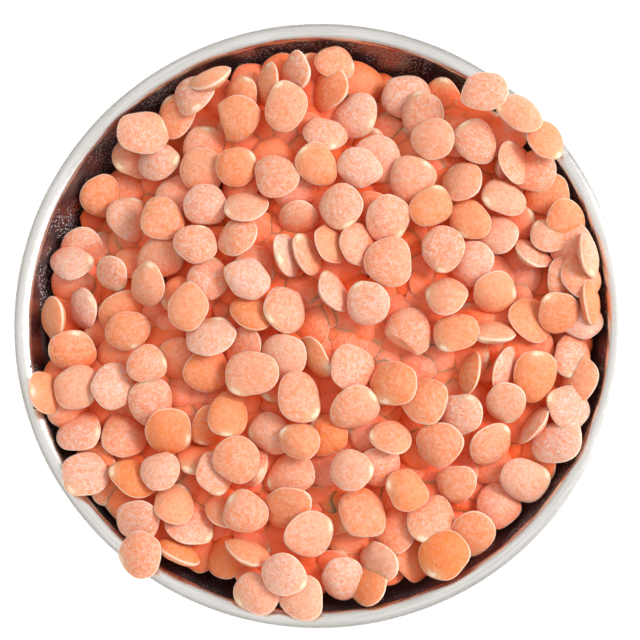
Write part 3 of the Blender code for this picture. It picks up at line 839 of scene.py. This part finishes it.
def set_down(name, cages, chosen):
    """One piece with a copy of a cage for each chosen lentil."""
    heap = bmesh.new()
    for layer in ("broken", "tone", "flour", "painted_shade_depth"):
        heap.verts.layers.float.new(layer)
    heap.verts.layers.float_vector.new("on_lentil")
    heap.edges.layers.float.new("crease_edge")
    forms = []
    for cage in cages:
        cage_mesh = bpy.data.meshes.new("cage")
        cage.to_mesh(cage_mesh)
        before = len(heap.verts)
        heap.from_mesh(cage_mesh)
        heap.verts.ensure_lookup_table()
        verts = heap.verts[before:]
        faces = list({face for vert in verts for face in vert.link_faces})
        edges = list({cage_edge for vert in verts for cage_edge in vert.link_edges})
        forms.append((verts, verts + edges + faces))
        bpy.data.meshes.remove(cage_mesh)
    tone, flour = heap.verts.layers.float["tone"], heap.verts.layers.float["flour"]
    painted_shade_depth = heap.verts.layers.float["painted_shade_depth"]
    for lentil in chosen:
        copied = bmesh.ops.duplicate(heap, geom=look_dice.choice(forms)[1])["geom"]
        verts = [part for part in copied if isinstance(part, bmesh.types.BMVert)]
        bmesh.ops.transform(heap, matrix=placed(lentil, look_dice.uniform(0.97, 1.03)), verts=verts)
        its_tone, its_flour = look_dice.random(), look_dice.random()
        for vert in verts:
            vert[tone], vert[flour] = its_tone, its_flour
            # How far the point lies below the heap's mean top, for painted shade in the material.
            below = near_top[cell_of(vert.co.x, vert.co.y)] - vert.co.z
            vert[painted_shade_depth] = min(1.0, max(0.0, below / PAINTED_SHADE_FULL_DEPTH))
    bmesh.ops.delete(heap, geom=[vert for verts, _ in forms for vert in verts], context="VERTS")
    piece = new_piece(name, heap)
    rounding = piece.modifiers.new("rounding", "SUBSURF")
    rounding.levels = rounding.render_levels = 1
    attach(piece, "root")
    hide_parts("lentils")
    print(f"{name}: {len(chosen)} lentils, {len(piece.data.polygons)} cage faces")
    return piece


kinds = {"whole": [], "flat": [], "chipped": [], "split": []}
for lentil, part in zip(lentils, shown_share):
    draw = look_dice.random()
    if part < HIDDEN_SHARE:
        continue
    if lentil[5]:
        kinds["split"].append(lentil)
    elif draw < CHIPPED_SHARE:
        kinds["chipped"].append(lentil)
    else:
        kinds["flat" if draw < CHIPPED_SHARE + FLAT_SHARE else "whole"].append(lentil)
heap_pieces = [
    set_down("whole_lentils", whole_cages, kinds["whole"]),
    set_down("flat_lentils", flat_cages, kinds["flat"]),
    set_down("chipped_lentils", chipped_cages, kinds["chipped"]),
    set_down("split_lentils", split_cages, kinds["split"]),
]

# %% [markdown]
# ## Under the lentils
#
# Only the top 8.5 mm of the heap is poured, so something has to close the bowl below it. That is a plug that
# follows the bowl's inside and the floor of the bed. It is spun like the bowl, its top points are lifted to
# the bed's floor, and all but its edge lies out of sight.

# %% Close the bowl below them
CORE_STEPS = 96
CORE_RINGS = 24
CORE_TO_STEEL = 0.3 * MM
CORE_LIFT = 0.6 * MM
CORE_EDGE_DEPTH = 5.0 * MM
CORE_SIDE_STEPS = 12
CORE_EDGE = 0.1 * MM


def mouth(level):
    """The radius inside the bowl at a level, kept clear of the steel."""
    below = CORNER_RADIUS + SHEET - level
    corner = FLOOR_RADIUS + math.sqrt(max(0, (CORNER_RADIUS - CORE_TO_STEEL) ** 2 - below ** 2))
    wall = CORNER_OUT + (level - CORNER_TOP) / math.tan(WALL_ANGLE) - CORE_TO_STEEL / math.sin(WALL_ANGLE)
    return wall if level > CORNER_TOP else corner


edge_level = RIM_LEVEL - POUR_DEPTH - CORE_EDGE_DEPTH
core_base = SHEET + CORE_TO_STEEL
down = [k / CORE_SIDE_STEPS for k in range(CORE_SIDE_STEPS + 1)]
side_levels = [edge_level + (core_base - edge_level) * share for share in down]
top_profile = [(mouth(edge_level) * k / CORE_RINGS, edge_level) for k in range(CORE_RINGS)]
side_profile = [(mouth(level), level) for level in side_levels]
shape = spun(top_profile + side_profile + [(0, side_levels[-1])], CORE_STEPS)
for vert in shape.verts:
    within = math.hypot(vert.co.x, vert.co.y) < mouth(edge_level) - CORE_EDGE
    if within and vert.co.z > edge_level - CORE_EDGE:
        vert.co.z = max(edge_level, bed_floor[cell_of(vert.co.x, vert.co.y)] + CORE_LIFT)
core = new_piece("heap_core", shape)
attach(core, "root")
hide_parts("lentils")
print(f"core up to {max(v.co.z for v in core.data.vertices) / MM:.1f} mm")

# %% [markdown]
# ## Dry red lentil
#
# The bare seed is hard, dry and a little floury. Light goes into it and comes out redder, so lentils in the
# gaps glow a deep orange, while flour turns the open ones a pale salmon pink. That asks for a saturated
# flesh with subsurface scattering, red carried furthest, under flour in fine specks and patches. Real flour
# is dull, so there is hardly any sheen. The deeper a point lies in the heap, the redder its flesh and the
# thinner its flour: that is painted shade. Over the flesh lie a mottling of about 0.45 mm, fine wrinkles, a
# paler line where the two halves meet, partly a painted edge highlight that fades with depth, a cream tip to
# the beak with a browner ring round it, painted shade of the hollow beside the beak, and a pale face where a
# lentil broke.

# %% Finish the lentils
MOTTLE = 0.45 * MM
POWDER = 0.15 * MM
WRINKLE = 1.3 * MM
WRINKLE_DEPTH = 0.2 * MM
MOTTLE_DEPTH = 0.14 * MM
POWDER_DEPTH = 0.03 * MM
SCATTER = 0.24 * MM
BEAK_AT = (0.84, 0.0, 0.38)

lentil_skin, tree, shader = new_material("red_lentil_skinned_dry_and_floury")
place = add(tree, "ShaderNodeTexCoord").outputs["Object"]
tone, flour, broken = [add(tree, "ShaderNodeAttribute", attribute_name=name).outputs["Fac"]
                       for name in ("tone", "flour", "broken")]
on_lentil = add(tree, "ShaderNodeAttribute", attribute_name="on_lentil").outputs["Vector"]
upright = add(tree, "ShaderNodeSeparateXYZ", {"Vector": on_lentil}).outputs["Z"]
# How deep the point lies in the heap, which drives painted shade below.
painted_shade_depth = add(tree, "ShaderNodeAttribute", attribute_name="painted_shade_depth").outputs["Fac"]
# Flour fades deep in the heap, so open lentils look paler and gaps redder: painted light and shade.
painted_light_share = ramp(tree, painted_shade_depth, (0.0, 1.0), (1.0, 0.15))

mottle = noise(tree, place, MOTTLE, detail=4.0, roughness=0.6)
powder = noise(tree, place, POWDER, detail=2.0, roughness=0.65)
wrinkles = noise(tree, place, WRINKLE, detail=2.0, roughness=0.45, distortion=1.4)

clouds = ramp(tree, mottle, (0.35, 0.65), (-0.3, 0.3))
tinted = calculate(tree, "ADD", tone, clouds, clamped=True)
flesh = mix(tree, tinted, linear("E27A26"), linear("E2966A"))
# Redder flesh deep in the heap is painted shade.
flesh_with_painted_shade = mix(tree, painted_shade_depth, flesh, linear("FC6A20"))
dusting = ramp(tree, powder, (0.34, 0.68), (0.1, 1.0))
thick = ramp(tree, flour, (0.0, 1.0), (0.15, 0.85))
dusted = calculate(tree, "MULTIPLY", dusting, thick)
unrubbed = ramp(tree, mottle, (0.4, 0.6), (0.6, 1.15))
patchy = calculate(tree, "MULTIPLY", dusted, unrubbed, clamped=True)
# Flour thinned with depth in the heap: painted shade.
flour_thinned_by_painted_shade = calculate(tree, "MULTIPLY", patchy, painted_light_share)
floury = mix(tree, flour_thinned_by_painted_shade, flesh_with_painted_shade, linear("E2D4D0"))
from_seam = calculate(tree, "ABSOLUTE", upright)
# The pale line where the halves meet is partly a painted edge highlight, faded deep in the heap as painted
# shade.
seam_and_edge_highlight = ramp(tree, from_seam, (0.08, 0.26), (0.7, 0.0))
edge_highlight_out_of_shade = ramp(tree, painted_shade_depth, (0.0, 1.0), (1.0, 0.0))
seam_with_painted_highlight = calculate(tree, "MULTIPLY", seam_and_edge_highlight, edge_highlight_out_of_shade)
with_seam_highlight = mix(tree, seam_with_painted_highlight, floury, linear("F5DCC8"))
apart = add(tree, "ShaderNodeVectorMath", {0: on_lentil, 1: BEAK_AT}, operation="DISTANCE")
ragged = calculate(tree, "MULTIPLY_ADD", mottle, 0.5, apart.outputs["Value"])
tip = ramp(tree, ragged, (0.4, 0.54), (0.75, 0.0))
# The browner ring round the beak's tip is painted shade of the hollow beside it.
groove_painted_shade = ramp(tree, ragged, (0.55, 0.9), (0.5, 0.0))
with_groove_shade = mix(tree, groove_painted_shade, with_seam_highlight, linear("D9AE86"))
tipped = mix(tree, tip, with_groove_shade, linear("EDDCC2"))
break_edge = ramp(tree, broken, (0.6, 0.95), (0.0, 0.6))
colour = mix(tree, break_edge, tipped, linear("F5A878"))
dullness = ramp(tree, mottle, (0.3, 0.7), (0.5, 0.66))

wrinkle_bump = bump(tree, wrinkles, strength=0.45, depth=WRINKLE_DEPTH)
mottle_bump = bump(tree, mottle, strength=0.9, depth=MOTTLE_DEPTH, over=wrinkle_bump)
powder_bump = bump(tree, powder, strength=0.4, depth=POWDER_DEPTH, over=mottle_bump)
fill(tree, shader, {"Base Color": colour, "Roughness": dullness, "Normal": powder_bump, "IOR": 1.5,
                    "Specular IOR Level": 0.4, "Subsurface Weight": 1.0, "Subsurface Scale": SCATTER,
                    "Subsurface Radius": (1.0, 0.55, 0.35), "Sheen Weight": 0.04, "Sheen Roughness": 0.45,
                    "Sheen Tint": linear("FFE9E0")})
for piece in heap_pieces:
    piece.data.materials.append(lentil_skin)
print("light goes", SCATTER / MM, "mm into a lentil, mottling every", MOTTLE / MM, "mm")

# %% [markdown]
# ## The lentils under the ones that are modelled
#
# The plug stands for the depth of the heap, where it is dark and only slivers are seen between lentils. Its
# colour is a dark red-orange, a painted shade, darkest where the cells of a pattern as wide as a lentil
# meet, and the same pattern gives it a bump.

# %% Finish the plug
PLUG_RELIEF = 0.9 * MM
GRAIN_DEPTH = 0.05 * MM

deep_lentils, tree, shader = new_material("red_lentil_deep_in_the_heap")
place = add(tree, "ShaderNodeTexCoord").outputs["Object"]
cells = to_nearest_dot(tree, place, 2 * LENTIL_RADIUS)
depth = ramp(tree, cells, (0.0, 0.7), (1.0, 0.0))
grain = noise(tree, place, MOTTLE, detail=3.0, roughness=0.6)
# The plug's dark colour, darkest where the cells meet, is painted shade.
shade = mix(tree, depth, linear("7A1F0B"), linear("D9652F"))
bumps = bump(tree, depth, strength=0.9, depth=PLUG_RELIEF)
grain_bump = bump(tree, grain, strength=0.3, depth=GRAIN_DEPTH, over=bumps)
fill(tree, shader, {"Base Color": shade, "Roughness": 0.65, "Normal": grain_bump})
core.data.materials.append(deep_lentils)
print("cells in the plug's relief:", 2 * LENTIL_RADIUS / MM, "mm")

# %% [markdown]
# ## The stage
#
# The photograph has a plain white ground and no shadow, as on a white sheet lit from behind. So the floor
# gives off some light of its own, which drowns the bowl's shadow. It is one quad, 6 m wide, which keeps its
# far edge out of sight even from low down, and it touches the bowl's base.

# %% Lay the floor
FLOOR_WIDTH = 6.0
FIBRE = 0.8 * MM
FLOOR_GLOW = 0.5

shape = bmesh.new()
bmesh.ops.create_grid(shape, x_segments=1, y_segments=1, size=FLOOR_WIDTH / 2)
floor = new_piece("white_floor", shape, smooth=False)
paper, tree, shader = new_material("white_studio_paper")
place = add(tree, "ShaderNodeTexCoord").outputs["Object"]
fibres = noise(tree, place, FIBRE, detail=4.0)
white = mix(tree, fibres, linear("FAFAFA"), linear("FDFDFD"))
fill(tree, shader, {"Base Color": white, "Roughness": 0.9, "Emission Color": linear("FFFFFF"),
                    "Emission Strength": FLOOR_GLOW})
floor.data.materials.append(paper)
print("floor", FLOOR_WIDTH, "m wide")

# %% [markdown]
# ## Light
#
# The photographed lentils are shaded from the right. A sun with a wide disc stands for a large soft box
# there, since its light has one direction and a soft edge to its shadows. The world stands for a white room
# that is brighter above than at its walls, with a low, bright window at the right, which draws the white
# line along the left of the rim.

# %% Light it
WALLS = 0.32
CEILING = 1.08
WINDOW = 1.4
KEY = 2.55
KEY_SOFTNESS = math.radians(24)
KEY_FROM = Vector((0.76, 0.18, 0.8))
WINDOW_FROM = Vector((0.99, -0.14, 0.0))

world = bpy.data.worlds.new("white_room")
bpy.context.scene.world = world
world.use_nodes = True
tree = world.node_tree
background = tree.nodes["Background"]
way = add(tree, "ShaderNodeTexCoord").outputs["Generated"]
height = add(tree, "ShaderNodeSeparateXYZ", {"Vector": way}).outputs["Z"]
towards = add(tree, "ShaderNodeVectorMath", {0: way, 1: WINDOW_FROM}, operation="DOT_PRODUCT")
room = ramp(tree, height, (0.0, 1.0), (WALLS, CEILING))
low_window = ramp(tree, towards.outputs["Value"], (0.7, 0.95), (0.0, WINDOW))
all_round = calculate(tree, "ADD", room, low_window)
fill(tree, background, {"Color": linear("FFFFFF"), "Strength": all_round})
key_light = bpy.data.lights.new("soft_box", "SUN")
key_light.energy = KEY
key_light.angle = KEY_SOFTNESS
key = bpy.data.objects.new("soft_box", key_light)
key.rotation_euler = KEY_FROM.to_track_quat("Z", "Y").to_euler()
bpy.context.scene.collection.objects.link(key)
bpy.context.scene.view_settings.view_transform = "Standard"
print("key from", [round(v, 2) for v in KEY_FROM.normalized()])

# %% [markdown]
# ## Camera
#
# The camera looks almost straight down. The bowl's rim is an ellipse 1 % lower than it is wide, and more of
# the wall shows at its upper left, which puts the camera about 81 degrees up and a little to the lower
# right. The picture is 70 mm wide at the rim, and its top is +Y.

# %% Place the camera
AIM = Vector((0.14, 0.3, 23.5)) * MM
DISTANCE = 450 * MM
ELEVATION = math.radians(81.4)
AZIMUTH = math.radians(12)
VIEW_ANGLE = math.radians(8.862)
NEAREST = 10 * MM

level = math.cos(ELEVATION)
away = Vector((level * math.sin(AZIMUTH), -level * math.cos(AZIMUTH), math.sin(ELEVATION)))
right = Vector((0, 1, 0)).cross(away).normalized()
above = away.cross(right)
lens = bpy.data.cameras.new("camera")
lens.sensor_fit = "HORIZONTAL"
lens.angle = VIEW_ANGLE
lens.clip_start = NEAREST
camera = bpy.data.objects.new("camera", lens)
turned = Matrix((right, above, away)).transposed().to_4x4()
camera.matrix_world = Matrix.Translation(AIM + away * DISTANCE) @ turned
bpy.context.scene.collection.objects.link(camera)
bpy.context.scene.camera = camera
print("camera", [round(v / MM) for v in camera.matrix_world.translation], "mm")
